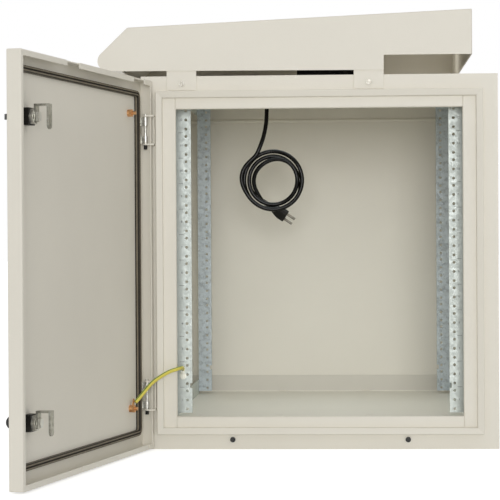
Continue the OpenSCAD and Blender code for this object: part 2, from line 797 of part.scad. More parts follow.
hood_outline = concat([cant_top, high_top, [high_x, cab_h + vent_up], [skirt_x, cab_h + vent_up],
  [skirt_x, cab_h + skirt_up]], arc(tip_c, tip_r, tip_a1, tip_a0, tip_n));
cant_d = cant_top - tip_c - tip_r * [cos(tip_a0), sin(tip_a0)];
roof_d = high_top - cant_top;
hood_hollow = concat([[-hw - lip_out, 0], [-hw - lip_out, tip_c[1] - tip_r + sheet]],
  arc(tip_c, tip_r - sheet, tip_a1, tip_a0, tip_n),
  [meet(cant_top + sheet * inward(cant_d), cant_d, cant_top + sheet * inward(roof_d), roof_d),
    meet(cant_top + sheet * inward(roof_d), roof_d, [high_x - sheet, 0], [0, 1]), [high_x - sheet, 0]]);

module hood() color(paint) difference() {
  slab_y(hood_yf, -hood_yf) polygon(hood_outline);
  slab_y(hood_yf + sheet, -hood_yf - sheet) polygon(hood_hollow);
}

module hood_bracket(x, y0) difference() {
  block([x - bracket_w / 2, x + bracket_w / 2], [y0, y0 + sheet], [bracket_foot, bracket_top]);
  rod_y(x, hood_screw_z, y0 - eps, y0 + sheet + eps, screw_hole);
}

module hood_bracket_left() color(paint) hood_bracket(bracket_x[0], yf - sheet);
module hood_bracket_right() color(paint) hood_bracket(bracket_x[1], yf - sheet);
module hood_brackets_rear() color(paint) for (x = bracket_x) hood_bracket(x, yb);

module hood_screws() color(steel) for (x = bracket_x) {
  head_screw_y(x, hood_screw_z, yf - sheet, -1);
  head_screw_y(x, hood_screw_z, yb + sheet, 1);
}

// Fan on the roof, under the hood

module fan_corners() for (i = [-1, 1], j = [-1, 1])
  translate([fan_x + i * fan_pitch / 2, fan_y + j * fan_pitch / 2, 0]) children();

module fan_frame() color(black) {
  difference() {
    translate([fan_x, fan_y, 0])
      block([-fan_w / 2, fan_w / 2], [-fan_w / 2, fan_w / 2], [fan_z0, fan_z0 + fan_t]);
    translate([fan_x, fan_y, fan_z0 - eps]) cylinder(h = fan_t + 2 * eps, d = fan_bore);
    fan_corners() translate([0, 0, fan_z0 - eps]) cylinder(h = fan_t + 2 * eps, d = screw_hole);
  }
  translate([fan_x, fan_y, fan_z0]) {
    cylinder(h = fan_base, d = fan_hub_d + 2 * fan_rim);
    cylinder(h = fan_t * fan_shaft_share, d = fan_shaft_d);
    for (a = [45, 165, 285]) rotate([0, 0, a])
      translate([fan_hub_d / 2, -fan_base, 0])
        cube([(fan_bore - fan_hub_d + fan_base) / 2, 2 * fan_base, fan_base]);
  }
}

module fan_rotor() color(black) translate([fan_x, fan_y, fan_z0 + fan_base + fan_run]) {
  tall = fan_t - fan_base - 3 * fan_run;
  difference() {
    cylinder(h = tall, d = fan_hub_d);
    translate([0, 0, -eps]) cylinder(h = fan_t * fan_shaft_share + eps, d = fan_shaft_d + 2 * run_gap);
  }
  intersection() {
    cylinder(h = tall, d = fan_bore - 2 * fan_tip_gap);
    for (i = [0:fan_blades - 1]) rotate([0, 0, 360 * i / fan_blades])
      translate([fan_hub_d / 2 - fan_rim, 0, tall / 2]) rotate([fan_tilt, 0, 0])
        translate([0, -fan_hub_d / 2, -sheet / 2]) cube([fan_bore / 2, fan_hub_d, sheet]);
  }
}

module fan_guard() color(steel) translate([fan_x, fan_y, ceil_under - guard_wire]) difference() {
  union() {
    for (i = [0:guard_n - 1]) let (r = guard_first + i * guard_step) difference() {
      cylinder(h = guard_wire, r = r);
      translate([0, 0, -eps]) cylinder(h = guard_wire + 2 * eps, r = r - guard_wire);
    }
    for (a = [45, 135]) rotate([0, 0, a]) translate([-fan_pitch * guard_arm_share, -guard_wire, 0])
      cube([2 * fan_pitch * guard_arm_share, guard_wire * 2, guard_wire]);
    for (i = [-1, 1], j = [-1, 1]) translate([i * fan_pitch / 2, j * fan_pitch / 2, 0])
      cylinder(h = guard_wire, d = screw_head_d);
  }
  for (i = [-1, 1], j = [-1, 1]) translate([i * fan_pitch / 2, j * fan_pitch / 2, -eps])
    cylinder(h = guard_wire + 2 * eps, d = screw_hole);
}

module fan_screws() color(steel) fan_corners() {
  translate([0, 0, ceil_under - guard_wire - screw_head_h]) cylinder(h = screw_head_h, d = screw_head_d);
  translate([0, 0, ceil_under - guard_wire])
    cylinder(h = fan_z0 - ceil_under + guard_wire + fan_t * fan_screw_share, d = screw_d);
}

// Fan lead

module cord_grommet() color(black) translate([grommet_at[0], grommet_at[1], ceil_under]) difference() {
  union() {
    translate([0, 0, -sheet]) cylinder(h = 3 * sheet, d = 2 * cord_d);
    translate([0, 0, -sheet]) cylinder(h = sheet, d = 2 * cord_d + 3 * sheet);
    translate([0, 0, sheet]) cylinder(h = sheet, d = 2 * cord_d + 3 * sheet);
  }
  translate([0, 0, -sheet - eps]) cylinder(h = 3 * sheet + 2 * eps, d = cord_d + 2 * run_gap);
}

module cord_lead() color(black)
  tube([for (p = lead_way) [grommet_at[0] + p[0], grommet_at[1], ceil_under + p[1]]], cord_d);

module cord_coil() color(black) translate([coil_c[0], grommet_at[1], coil_c[1]]) rotate([90, 0, 0])
  rotate_extrude($fn = 64) translate([coil_mid, 0]) round_rect(coil_wide, coil_thick, coil_round, $fn = fine);

module cord_tail() color(black)
  tube(concat([for (p = tail_way) [coil_c[0] + p[0], grommet_at[1] + p[1], coil_c[1] + p[2]]],
    [for (out = [cord_d, fit_gap]) plug_from - out * plug_way]), cord_d);

module along_plug() translate(plug_from) rotate([0, 90 + plug_dip, 0]) children();

module plug_section(l) linear_extrude(l) round_rect(plug_w, plug_t, plug_round, $fn = fine);

module at_blades() for (s = [-1, 1])
  translate([s * blade_gap / 2 - blade_t / 2, -blade_w / 2, plug_face - sheet]) children();

module plug_body() color(black) along_plug() {
  cylinder(h = plug_neck_l, d1 = plug_neck_d * neck_share, d2 = plug_neck_d);
  hull() {
    translate([0, 0, plug_neck_l]) cylinder(h = sheet, d = plug_neck_d, $fn = fine);
    translate([0, 0, plug_neck_l + plug_taper]) plug_section(sheet);
  }
  difference() {
    translate([0, 0, plug_neck_l + plug_taper]) plug_section(plug_l);
    at_blades() cube([blade_t, blade_w, sheet + eps]);
  }
}

module plug_blades() color(zinc) along_plug() at_blades() cube([blade_t, blade_w, blade_l + sheet]);

// Door

module door_panel() color(paint) on_door() difference() {
  union() {
    block([-door_edge, door_edge], [skin_y0, skin_y1], [door_z0, door_z1]);
    difference() {
      block([-door_edge, door_edge], [skin_y0, pan_y], [door_z0, door_z1]);
      block([-door_edge + sheet, door_edge - sheet], [skin_y1 - eps, pan_y - sheet],
        [door_z0 + sheet, door_z1 - sheet]);
      block([-door_edge + door_lip, door_edge - door_lip], [pan_y - sheet - eps, pan_y + eps],
        [door_z0 + door_lip, door_z1 - door_lip]);
    }
  }
  for (x = bracket_x) translate([x, 0, 0]) block([-bracket_w / 2 - notch_gap, bracket_w / 2 + notch_gap],
    [pan_y - notch_deep, pan_y + eps], [door_z1 - door_lip - eps, door_z1 + eps]);
  for (x = drain_x) block([x - drain_w / 2, x + drain_w / 2], [pan_y - sheet - eps, pan_y + eps],
    [door_z0 + sheet, door_z0 + door_lip + eps]);
  translate([-door_edge, pan_y, 0]) rotate([0, 0, 45])
    cube([corner_cut * sqrt(2), corner_cut * sqrt(2), 3 * cab_h], center = true);
  for (z = latch_z) rod_y(latch_x, z, skin_y0 - eps, skin_y1 + eps, latch_hole_d);
}

module door_gasket() color(foam) on_door() {
  w = cab_w - 2 * gasket_mid;
  h = cab_h - 2 * gasket_mid;
  translate([0, 0, cab_h / 2]) difference() {
    slab_y(skin_y1, gasket_y) difference() {
      round_rect(w + gasket_w, h + gasket_w, gasket_r);
      round_rect(w - gasket_w, h - gasket_w, gasket_r - gasket_w);
    }
    slab_y(gasket_y - groove_deep, gasket_y + eps) difference() {
      round_rect(w + groove_w, h + groove_w, gasket_r - gasket_w / 2);
      round_rect(w - groove_w, h - groove_w, gasket_r - gasket_w / 2 - groove_w);
    }
  }
}

module earth_stud(z) {
  rod_y(stud_x, z, skin_y1, stud_y, stud_base_d);
  rod_y(stud_x, z, skin_y1, skin_y1 + stud_l, stud_d);
}

module stud_nut(z, y) difference() {
  hex_y(stud_x, z, y, y + stud_base_h, stud_base_d);
  rod_y(stud_x, z, y - eps, y + stud_base_h + eps, stud_d);
}

module earth_stud_upper() color(copper) on_door() {
  earth_stud(stud_z[0]);
  stud_nut(stud_z[0], stud_y);
}

module earth_stud_lower() color(copper) on_door() {
  earth_stud(stud_z[1]);
  stud_nut(stud_z[1], stud_y + lug_t);
}

// Hinges

module hinge_hook() {
  circle(ear_r);
  translate([0, -arm_far]) square([arm_neck, arm_far]);
  polygon([[0, -arm_far], [leg_in, -arm_far], [leg_out, leg_t - arm_far], [leg_out, pin_gap],
    [leg_in, pin_gap], [leg_in, -arm_near], [0, -arm_near]]);
}

module hinge_bracket(z) translate([pin_x, pin_y, z - hinge_h / 2]) difference() {
  union() {
    for (h = [0, hinge_h - ear_t]) translate([0, 0, h]) linear_extrude(ear_t) hinge_hook();
    translate([leg_in, web_from, 0]) cube([leg_t, pin_gap - web_from, hinge_h]);
    translate([foot_in, pin_gap - sheet, 0]) cube([leg_out - foot_in, sheet, hinge_h]);
  }
  translate([0, 0, -eps]) cylinder(h = hinge_h + 2 * eps, d = pin_d + 2 * bolt_slack);
}
module hinge_bracket_upper() color(paint) hinge_bracket(hinge_z[0]);
module hinge_bracket_lower() color(paint) hinge_bracket(hinge_z[1]);

module hinge_pin(z) translate([pin_x, pin_y, z - hinge_h / 2]) {
  cylinder(h = hinge_h, d = pin_d);
  translate([0, 0, hinge_h]) cylinder(h = sheet, d = cap_d);
}
module hinge_pin_upper() color(steel) hinge_pin(hinge_z[0]);
module hinge_pin_lower() color(steel) hinge_pin(hinge_z[1]);
module hinge_caps() color(black) for (z = hinge_z) translate([pin_x, pin_y, z - hinge_h / 2 - cap_h])
  cylinder(h = cap_h, d = cap_d);

module hinge_leaf(z) on_door() translate([pin_x, pin_y, z - hinge_h / 2 + ear_t + knuckle_gap]) difference() {
  inner = hinge_h - 2 * ear_t - 2 * knuckle_gap;
  union() {
    for (k = [[0, knuckle_low], [inner - knuckle_top, knuckle_top]]) translate([0, 0, k[0]]) {
      cylinder(h = k[1], d = knuckle_d);
      translate([-knuckle_d / 2, skin_y1 - pin_y, 0]) cube([sheet, pin_y - skin_y1, k[1]]);
    }
    translate([-leaf_left, skin_y1 - pin_y, 0]) cube([leaf_left + leaf_right, sheet, inner]);
  }
  translate([0, 0, -eps]) cylinder(h = inner + 2 * eps, d = pin_d + 2 * run_gap);
}
module hinge_leaf_upper() color(zinc) hinge_leaf(hinge_z[0]);
module hinge_leaf_lower() color(zinc) hinge_leaf(hinge_z[1]);

// Quarter-turn latches, drawn with the door shut and then opened with it

module latch_housing(z) on_door() difference() {
  union() {
    translate([latch_x, 0, z]) block([-latch_block / 2, latch_block / 2], [skin_y1, nut_y0],
      [-latch_block / 2, latch_block / 2]);
    rod_y(latch_x, z, skin_y0 - latch_bezel_h, nut_y0 + nut_h, latch_barrel_d);
    rod_y(latch_x, z, skin_y0 - latch_bezel_h, skin_y0, latch_bezel_d);
  }
  rod_y(latch_x, z, skin_y0 - latch_bezel_h - eps, nut_y0 + nut_h + eps, latch_spin_d + 2 * run_gap);
}
module latch_housing_upper() color(black) latch_housing(latch_z[0]);
module latch_housing_lower() color(black) latch_housing(latch_z[1]);

module latch_nut(z) on_door() difference() {
  hex_y(latch_x, z, nut_y0, nut_y0 + nut_h, nut_af);
  rod_y(latch_x, z, nut_y0 - eps, nut_y0 + nut_h + eps, latch_barrel_d);
}
module latch_nut_upper() color(zinc) latch_nut(latch_z[0]);
module latch_nut_lower() color(zinc) latch_nut(latch_z[1]);

module latch_spindle(z, turn) on_door() {
  knob_y = skin_y0 - latch_bezel_h - cam_gap;
  rod_y(latch_x, z, knob_y, cam_y0, latch_spin_d);
  rod_y(latch_x, z, cam_y0, cam_y0 + cam_t, spin_end_d);
  rod_y(latch_x, z, knob_y - knob_h, knob_y, knob_d);
  translate([latch_x, knob_y - knob_h, z]) rotate([0, turn, 0]) translate([-wing_w / 2, 0, 0])
    rotate([90, 0, 90]) linear_extrude(wing_w) polygon(wing_outline);
  hex_y(latch_x, z, cam_y0 + cam_t, cam_y0 + cam_t + cam_nut_h, cam_nut_af);
}
module latch_spindle_upper() color(black) latch_spindle(latch_z[0], wing_turns[0]);
module latch_spindle_lower() color(black) latch_spindle(latch_z[1], wing_turns[1]);

module latch_cam(z) on_door() translate([latch_x, 0, z]) difference() {
  tail_y = skin_y1 + cam_off;
  union() {
    block([-cam_w / 2, cam_w / 2], [cam_y0, cam_y0 + cam_t], [-cam_low, cam_up]);
    block([-cam_w / 2, cam_w / 2], [cam_y0, tail_y + cam_t], [cam_up - cam_t, cam_up]);
    block([-cam_w / 2, cam_w / 2], [tail_y, tail_y + cam_t], [-cam_tail + cam_w / 2, cam_up]);
    rod_y(0, -cam_tail + cam_w / 2, tail_y, tail_y + cam_t, cam_w);
  }
  rod_y(0, 0, cam_y0 - eps, cam_y0 + cam_t + eps, spin_end_d);
}
module latch_cam_upper() color(zinc) latch_cam(latch_z[0]);
module latch_cam_lower() color(zinc) latch_cam(latch_z[1]);

// Earth wire

function door_pt(p) = let (c = cos(door_open), s = sin(door_open), x = p[0] - pin_x, y = p[1] - pin_y)
  [pin_x + x * c + y * s, pin_y - x * s + y * c, p[2]];

module lug(hole) {
  difference() {
    union() {
      circle(d = lug_d);
      translate([-lug_neck / 2, 0]) square([lug_neck, lug_up + wire_d]);
    }
    circle(d = hole);
  }
}

module earth_lug_door() color(copper) on_door() translate([stud_x, 0, stud_z[1]])
  slab_y(stud_y, stud_y + lug_t) rotate(90 - lug_tilt) lug(stud_d + 2 * bolt_slack);

module earth_lug_rail() color(zinc) translate([lug_rail[0], 0, lug_rail[1]])
  slab_y(rail_front_y - lug_t, rail_front_y) lug(lug_hole);

module earth_screw_rail() color(zinc) {
  rod_y(lug_rail[0], lug_rail[1], rail_front_y - lug_t - lug_screw_h, rail_front_y - lug_t, 2 * lug_screw_d);
  rod_y(lug_rail[0], lug_rail[1], rail_front_y - lug_t, rail_front_y - lug_t + lug_screw_l, lug_screw_d);
}

module earth_wire() color(green) tube(concat([door_pt(wire_from)], wire_pts,
  [[lug_rail[0], rail_front_y - lug_t - wire_d / 2, lug_rail[1] + lug_up]]), wire_d);

body_shell();
back_panel();
front_ring();
frame_post_left();
frame_post_right();
frame_header();
frame_sill();
floor_tray();
ceiling_tray();
filter_tray();
air_filter();
strip_screws();
rail_front_left();
rail_front_right();
rail_rear_left();
rail_rear_right();
brace_upper_left();
brace_upper_right();
brace_lower_left();
brace_lower_right();
rail_bolts();
hood();
hood_bracket_left();
hood_bracket_right();
hood_brackets_rear();
hood_screws();
fan_frame();
fan_guard();
fan_rotor();
fan_screws();
cord_grommet();
cord_lead();
cord_coil();
cord_tail();
plug_body();
plug_blades();
hinge_bracket_upper();
hinge_bracket_lower();
hinge_pin_upper();
hinge_pin_lower();
hinge_caps();
hinge_leaf_upper();
hinge_leaf_lower();
door_panel();
door_gasket();
earth_stud_upper();
earth_stud_lower();
earth_lug_door();
earth_lug_rail();
earth_screw_rail();
earth_wire();
latch_housing_upper();
latch_housing_lower();
latch_nut_upper();
latch_nut_lower();
latch_spindle_upper();
latch_spindle_lower();
latch_cam_upper();
latch_cam_lower();
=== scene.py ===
"""Outdoor rack enclosure with its door open: finishes, cords, foam, rail marks, light and camera."""

import json
import math

import bmesh
import bpy
from mathutils import Matrix, Vector


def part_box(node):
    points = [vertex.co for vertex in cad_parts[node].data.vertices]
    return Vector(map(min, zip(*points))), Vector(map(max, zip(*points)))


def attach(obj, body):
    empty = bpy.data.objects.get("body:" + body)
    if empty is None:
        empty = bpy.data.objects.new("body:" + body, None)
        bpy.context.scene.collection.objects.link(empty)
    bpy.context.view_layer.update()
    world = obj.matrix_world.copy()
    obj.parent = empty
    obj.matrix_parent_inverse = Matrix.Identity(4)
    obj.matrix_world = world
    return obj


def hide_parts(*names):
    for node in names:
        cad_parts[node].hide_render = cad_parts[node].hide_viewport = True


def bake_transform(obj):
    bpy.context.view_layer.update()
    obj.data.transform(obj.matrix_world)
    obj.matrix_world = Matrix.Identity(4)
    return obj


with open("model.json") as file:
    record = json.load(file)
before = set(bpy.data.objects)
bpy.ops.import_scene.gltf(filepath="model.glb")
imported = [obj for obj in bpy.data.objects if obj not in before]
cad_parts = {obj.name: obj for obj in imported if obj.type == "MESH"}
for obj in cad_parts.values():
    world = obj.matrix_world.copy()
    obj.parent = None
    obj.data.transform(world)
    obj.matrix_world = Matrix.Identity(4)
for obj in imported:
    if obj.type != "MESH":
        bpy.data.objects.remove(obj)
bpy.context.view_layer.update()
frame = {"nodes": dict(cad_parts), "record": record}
nodes = frame["nodes"]
behaviour = frame["record"]["behaviour"]
BODY_OF = {node: body for body, held in behaviour["bodies"].items() for node in held}
SLOT_OF = {row["node"]: row["material_slot"] for row in frame["record"]["subparts"]}
SWING = next(joint for joint in behaviour["joints"] if joint["name"] == "door_swing")
scene = bpy.context.scene
MM = 0.001
QUARTER_TURN = math.radians(90)


# Camera

LENS_MM = 141.1
SENSOR_MM = 36
CAMERA_AT = Vector((50.0, -3658.0, 359.9)) * MM
CAMERA_YAW, CAMERA_PITCH, CAMERA_ROLL = (math.radians(a) for a in (-2.88, -0.316, 0.332))
VIEW_END = 50


def make_camera():
    """The photograph's view: its place, its lens and its three turns."""
    ahead = Vector((math.sin(CAMERA_YAW) * math.cos(CAMERA_PITCH),
                    math.cos(CAMERA_YAW) * math.cos(CAMERA_PITCH), math.sin(CAMERA_PITCH)))
    level = Vector((math.cos(CAMERA_YAW), -math.sin(CAMERA_YAW), 0))
    upright = level.cross(ahead)
    right = math.cos(CAMERA_ROLL) * level - math.sin(CAMERA_ROLL) * upright
    up = math.sin(CAMERA_ROLL) * level + math.cos(CAMERA_ROLL) * upright
    data = bpy.data.cameras.new("camera")
    data.lens = LENS_MM
    data.sensor_width = SENSOR_MM
    data.clip_end = VIEW_END
    camera = bpy.data.objects.new("camera", data)
    scene.collection.objects.link(camera)
    turn = Matrix((right, up, -ahead)).transposed()
    camera.matrix_world = Matrix.Translation(CAMERA_AT) @ turn.to_4x4()
    scene.camera = camera


make_camera()


# Shader expressions

CRYSTALS_PER_M = 230


class Shade:
    """A socket of a material's node tree, with arithmetic that adds Math nodes."""

    def __init__(self, tree, socket=None):
        self.tree = tree
        self.socket = socket

    def feed(self, target, value):
        """Links a socket to the target, or sets the target's own value."""
        if isinstance(value, Shade):
            self.tree.links.new(value.socket, target)
        else:
            target.default_value = value

    def node(self, kind, settings=None, sockets=None, out=0):
        """Adds a node: its settings first, then its sockets' values or links."""
        made = self.tree.nodes.new("ShaderNode" + kind)
        for name, value in (settings or {}).items():
            setattr(made, name, value)
        for name, value in (sockets or {}).items():
            self.feed(made.inputs[name], value)
        return Shade(self.tree, made.outputs[out])

    def math(self, operation, *values):
        return self.node("Math", {"operation": operation}, dict(enumerate(values)))

    def __add__(self, other):
        return self.math("ADD", self, other)

    __radd__ = __add__

    def __mul__(self, other):
        return self.math("MULTIPLY", self, other)

    __rmul__ = __mul__

    def __gt__(self, other):
        return self.math("GREATER_THAN", self, other)

    def __lt__(self, other):
        return self.math("LESS_THAN", self, other)

    def place(self):
        return self.node("TexCoord", out="Object")

    def along(self, where, axis):
        return self.node("SeparateXYZ", None, {"Vector": where}, axis)

    def attribute(self, name):
        return self.node("Attribute", {"attribute_name": name}, None, "Fac")

    def noise(self, where, scale, detail=3, roughness=0.5):
        return self.node("TexNoise", None, {"Vector": where, "Scale": scale, "Detail": detail,
                                            "Roughness": roughness}, "Fac")

    def crystals(self, where):
        """One brightness for each zinc crystal."""
        sockets = {"Vector": where, "Scale": CRYSTALS_PER_M, "Randomness": 1.0}
        colour = self.node("TexVoronoi", {"feature": "F1"}, sockets, "Color")
        return self.node("SeparateColor", None, {"Color": colour})

    def span(self, value, low, high, low_out=0.0, high_out=1.0):
        return self.node("MapRange", None, {0: value, 1: low, 2: high, 3: low_out, 4: high_out})

    def mix(self, share, first, second):
        return self.node("Mix", {"data_type": "RGBA"}, {0: share, 6: first, 7: second}, 2)

    def bump(self, height, strength, depth):
        return self.node("Bump", None, {"Height": height, "Strength": strength, "Distance": depth})


def srgb(red, green, blue):
    """A colour as a screen shows it, as the linear one that the shader takes."""
    def linear(value):
        value /= 255
        return value / 12.92 if value <= 0.04045 else ((value + 0.055) / 1.055) ** 2.4
    return (linear(red), linear(green), linear(blue), 1.0)


def tone(colour, share):
    """A darker or lighter tone of a colour."""
    return tuple(min(1.0, c * share) for c in colour[:3]) + (1.0,)


def new_finish(name):
    """An empty material: its shading canvas and its surface shader."""
    material = bpy.data.materials.new(name)
    material.use_nodes = True
    shader = material.node_tree.nodes["Principled BSDF"]
    return material, Shade(material.node_tree), shader


def set_surface(canvas, shader, **sockets):
    """Feeds the shader's sockets, which are named as in base_color."""
    for name, value in sockets.items():
        canvas.feed(shader.inputs[name.replace("_", " ").title().replace("Ior", "IOR")], value)


# Finishes

# The frame has the door open, and the lower end of its swing shuts it
PIN_AT = Vector(SWING["pos_m"])
DOOR_TURN = Matrix.Rotation(-math.radians(SWING["range_deg"][0]), 4, Vector(SWING["axis"]))
DOOR_OPEN = Matrix.Translation(PIN_AT) @ DOOR_TURN @ Matrix.Translation(-PIN_AT)
DOOR_INWARDS = DOOR_OPEN.to_3x3() @ Vector((0, 1, 0))
# The inner face of the door's skin: its place with the door shut, and how far along the open door's normal
SKIN_Y = -328.5
DOOR_SKIN = (DOOR_OPEN @ Vector((0, SKIN_Y * MM, 0))).dot(DOOR_INWARDS)
# The painted highlight at a rail's holes fades out between these distances from the middle
HIGHLIGHT_EDGE, HIGHLIGHT_END = 236 * MM, 243 * MM
# Height of the tray's floor; the tray's upstand above it has painted shade
TRAY_FLOOR = 54 * MM
DUST = srgb(96, 94, 88)
WORN_INK = srgb(140, 142, 138)


def powder_paint(name, colour, shaded_above=None):
    """Powder coat: fine orange peel with a faint cloudiness, and painted shade, a darker tone, above a
    height if one is given.
    """
    material, s, shader = new_finish(name)
    place = s.place()
    cloud = s.noise(place, 7, 2)
    peel = s.noise(place, 420, 2, 0.45)
    fine = s.noise(place, 1500, 2)
    shade = s.mix(s.span(cloud, 0.3, 0.7), tone(colour, 0.98), tone(colour, 1.01))
    if shaded_above is not None:
        # Painted shade: a darker tone above the given height
        shade = s.mix(s.along(place, "Z") > shaded_above, shade, tone(colour, 0.8))
    set_surface(s, shader, base_color=s.mix(fine * 0.16, shade, tone(colour, 0.86)),
                roughness=s.span(peel, 0.3, 0.7, 0.38, 0.54),
                normal=s.bump(peel + fine * 0.35, 0.22, 0.0006))
    return material


def galvanised(name, colour):
    """Hot-dip sheet: zinc crystals a few millimetres across, each with its own brightness."""
    material, s, shader = new_finish(name)
    place = s.place()
    wobble = s.noise(place, 120, 2)
    flake = s.crystals(place)
    streak = s.noise(place, 36, 4)
    shade = s.mix(flake, tone(colour, 0.88), tone(colour, 1.06))
    set_surface(s, shader, base_color=s.mix(s.span(streak, 0.35, 0.75) * 0.35, shade, tone(colour, 0.7)),
                metallic=0.3, roughness=s.span(flake, 0, 1, 0.34, 0.56) + wobble * 0.08,
                normal=s.bump(flake * 0.6 + wobble, 0.12, 0.0002))
    return material


def rail_sheet(name, front, rear):
    """Zinc-coated rack rail: a painted highlight along the front holes, bluish and stained at the rear."""
    material, s, shader = new_finish(name)
    place = s.place()
    across = s.along(place, "X")
    depth = s.along(place, "Y")
    flake = s.crystals(place)
    patch = s.noise(place, 130, 4, 0.65)
    strip = s.span(s.math("ABSOLUTE", across), HIGHLIGHT_EDGE, HIGHLIGHT_END)
    # Painted highlight: lighter near the holes, fading to the rail's own tone further out
    highlit_tone = s.mix(strip, tone(front, 1.2), front)
    near = s.mix(s.span(patch, 0.3, 0.75) * strip, highlit_tone, tone(front, 0.82))
    far = s.mix(s.span(patch, 0.48, 0.66), rear, tone(rear, 0.6))
    shade = s.mix(depth > 0, near, far)
    set_surface(s, shader, base_color=s.mix(flake * 0.25, shade, tone(front, 0.9)), metallic=0.15,
                roughness=s.span(flake, 0, 1, 0.36, 0.54), normal=s.bump(flake, 0.05, 0.0002))
    return material


def plated(name, colour, rough, stain):
    """Plated or drawn metal with fine scratches and a little staining."""
    material, s, shader = new_finish(name)
    place = s.place()
    grain = s.noise(s.node("Mapping", None, {"Vector": place, "Scale": (900, 900, 90)}), 1, 2)
    blotch = s.noise(place, 160, 3)
    set_surface(s, shader, base_color=s.mix(s.span(blotch, 0.4, 0.75), colour, stain), metallic=0.85,
                roughness=s.span(grain, 0.3, 0.7, rough - 0.07, rough + 0.1),
                normal=s.bump(grain, 0.1, 0.0001))
    return material


def moulded(name, colour, rough, grain_scale, depth, scuffs=0.5, shine=0.5):
    """Dark moulded plastic or rubber with a matt grain and dust-grey scuffs."""
    material, s, shader = new_finish(name)
    place = s.place()
    grain = s.noise(place, grain_scale, 2)
    scuff = s.noise(place, 70, 5, 0.65)
    set_surface(s, shader, base_color=s.mix(s.span(scuff, 0.5, 0.85) * scuffs, colour, DUST),
                roughness=s.span(grain, 0.3, 0.7, rough - 0.06, rough + 0.1),
                normal=s.bump(grain, 0.25, depth), specular_ior_level=shine)
    return material


def latch_finish(name, knob, metal):
    """A latch's spindle: a black knob outside the door's skin and a plated end inside it."""
    material, s, shader = new_finish(name)
    place = s.place()
    depth = s.node("VectorMath", {"operation": "DOT_PRODUCT"}, {0: place, 1: DOOR_INWARDS}, "Value")
    inside = depth > DOOR_SKIN
    grain = s.noise(place, 1300, 2)
    set_surface(s, shader, base_color=s.mix(inside, knob, metal), metallic=inside * 0.85,
                roughness=s.span(grain, 0.3, 0.7, 0.3, 0.46), normal=s.bump(grain, 0.2, 0.0002))
    return material


def cell_foam(name, colour):
    """Closed-cell sealing foam: open pores along the cut faces, and nearly black painted shade on the faces
    marked for it.
    """
    material, s, shader = new_finish(name)
    place = s.place()
    pore = s.node("TexVoronoi", {"feature": "F1"}, {"Vector": place, "Scale": 900}, "Distance")
    patch = s.noise(place, 60, 3)
    seal_shade_mask = s.attribute("seal_shade_mask")
    shade = s.mix(s.span(patch, 0.3, 0.7), tone(colour, 0.85), tone(colour, 1.15))
    shade = s.mix(s.span(pore, 0.1, 0.5), tone(colour, 0.7), shade)
    # Painted shade: the marked faces, the seal's walls and groove, are nearly black
    set_surface(s, shader, base_color=s.mix(seal_shade_mask, shade, tone(colour, 0.12)),
                roughness=s.span(pore, 0.1, 0.5, 0.75, 0.5), normal=s.bump(pore, 0.3, 0.0003),
                specular_ior_level=0.12)
    return material


def fleece(name, colour):
    """Needled filter fleece: tangled fibres."""
    material, s, shader = new_finish(name)
    place = s.place()
    strand = s.noise(s.node("Mapping", None, {"Vector": place, "Scale": (300, 1400, 300)}), 1, 5, 0.7)
    tuft = s.noise(place, 90, 4)
    set_surface(s, shader, base_color=s.mix(s.span(strand, 0.35, 0.65), tone(colour, 0.72), colour),
                roughness=0.95, normal=s.bump(strand + tuft, 0.6, 0.0008))
    return material


def striped_sleeve(name, first, second):
    """Earth-wire sleeve: two colours in stripes along the wire, read from the tube's own attribute."""
    material, s, shader = new_finish(name)
    stripe = s.math("PINGPONG", s.attribute("around"), 0.25)
    edge = s.noise(s.place(), 900, 2)
    set_surface(s, shader, base_color=s.mix(s.span(stripe + edge * 0.01, 0.19, 0.205), first, second),
                roughness=s.span(edge, 0.3, 0.7, 0.4, 0.5), normal=s.bump(edge, 0.08, 0.0002))
    return material


def rail_ink(name, colour):
    """Printed marks on the rails, a little worn."""
    material, s, shader = new_finish(name)
    worn = s.noise(s.place(), 1400, 3)
    set_surface(s, shader, base_color=s.mix(s.span(worn, 0.45, 0.8), colour, WORN_INK),
                roughness=s.span(worn, 0.3, 0.7, 0.55, 0.7))
    return material


GREY = srgb(235, 230, 217)
FINISHES = {
    "grey_paint": powder_paint("grey_powder_coat", GREY),
    "galvanised_sheet": galvanised("galvanised_spangle", srgb(208, 214, 208)),
    "zinc_plate": plated("bright_zinc", srgb(216, 215, 208), 0.33, srgb(162, 158, 146)),
    "screw_steel": plated("dull_screw_steel", srgb(168, 165, 156), 0.42, srgb(128, 124, 114)),
    "black_screw": moulded("black_oxide", srgb(26, 26, 25), 0.4, 900, 0.0001, 0.5, 0.3),
    "black_plastic": moulded("black_moulding", srgb(28, 27, 24), 0.5, 1300, 0.0002, 0.4, 0.22),
    "black_rubber": moulded("black_sheath", srgb(12, 11, 9), 0.1, 700, 0.00005, 0.06, 0.18),
    "seal_foam": cell_foam("seal_foam", srgb(128, 119, 103)),
    "filter_fleece": fleece("filter_fleece", srgb(222, 219, 208)),
    "copper": plated("bare_copper", srgb(228, 178, 126), 0.32, srgb(160, 108, 70)),
    "earth_sleeve": striped_sleeve("earth_sleeve", srgb(226, 212, 92), srgb(104, 138, 60)),
}
BLADE_METAL = plated("blade_metal", srgb(132, 125, 112), 0.36, srgb(84, 78, 68))
DULL_TIN = plated("dull_tin", srgb(232, 232, 222), 0.6, srgb(196, 195, 184))
